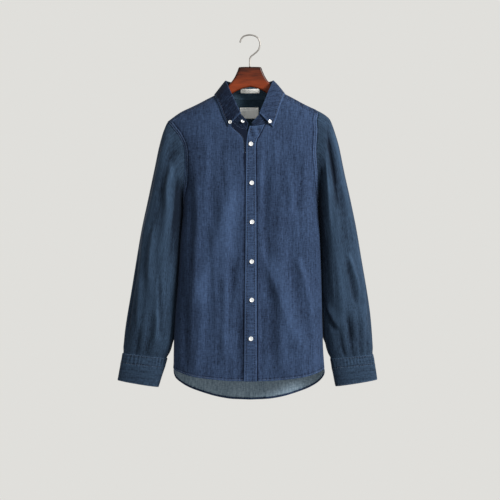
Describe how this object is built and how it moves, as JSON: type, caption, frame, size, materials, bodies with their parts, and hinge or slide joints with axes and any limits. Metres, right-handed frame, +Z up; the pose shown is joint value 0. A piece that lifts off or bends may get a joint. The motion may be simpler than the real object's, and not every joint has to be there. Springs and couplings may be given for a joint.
{
  "type": "long-sleeved button-front shirt on a wooden hanger",
  "caption": "Long-sleeved chambray shirt with a button-down collar, buttoned below the neck and hanging on a shaped wooden hanger by its steel hook.",
  "frame": {"origin": "inside of the top of the hanger's hook, on its wire's centre plane, where a rail carries it", "axes": "+Z up, -Y the buttoned front, +X the wearer's left"},
  "size_m": [0.673, 0.1353, 0.95],
  "materials": {
    "chambray": "matte",
    "label_cloth": "matte",
    "label_strip": "satin",
    "button_plastic": "gloss",
    "hanger_wood": "satin",
    "hook_steel": "gloss"
  },
  "bodies": {
    "root": {"front_right": "chambray", "front_left": "chambray", "back": "chambray", "yoke": "chambray", "placket": "chambray", "sleeve_right": "chambray", "sleeve_left": "chambray", "cuff_right": "chambray", "cuff_left": "chambray", "sleeve_placket_right": "chambray", "sleeve_placket_left": "chambray", "collar_stand": "chambray", "collar_leaf": "chambray", "neck_label": "label_cloth", "size_label": "label_strip", "button_1": "button_plastic", "button_2": "button_plastic", "button_3": "button_plastic", "button_4": "button_plastic", "button_5": "button_plastic", "button_6": "button_plastic", "stand_button": "button_plastic", "point_button_right": "button_plastic", "point_button_left": "button_plastic", "cuff_button_right": "button_plastic", "cuff_button_left": "button_plastic", "hanger": "hanger_wood", "hook": "hook_steel"}
  },
  "joints": []
}
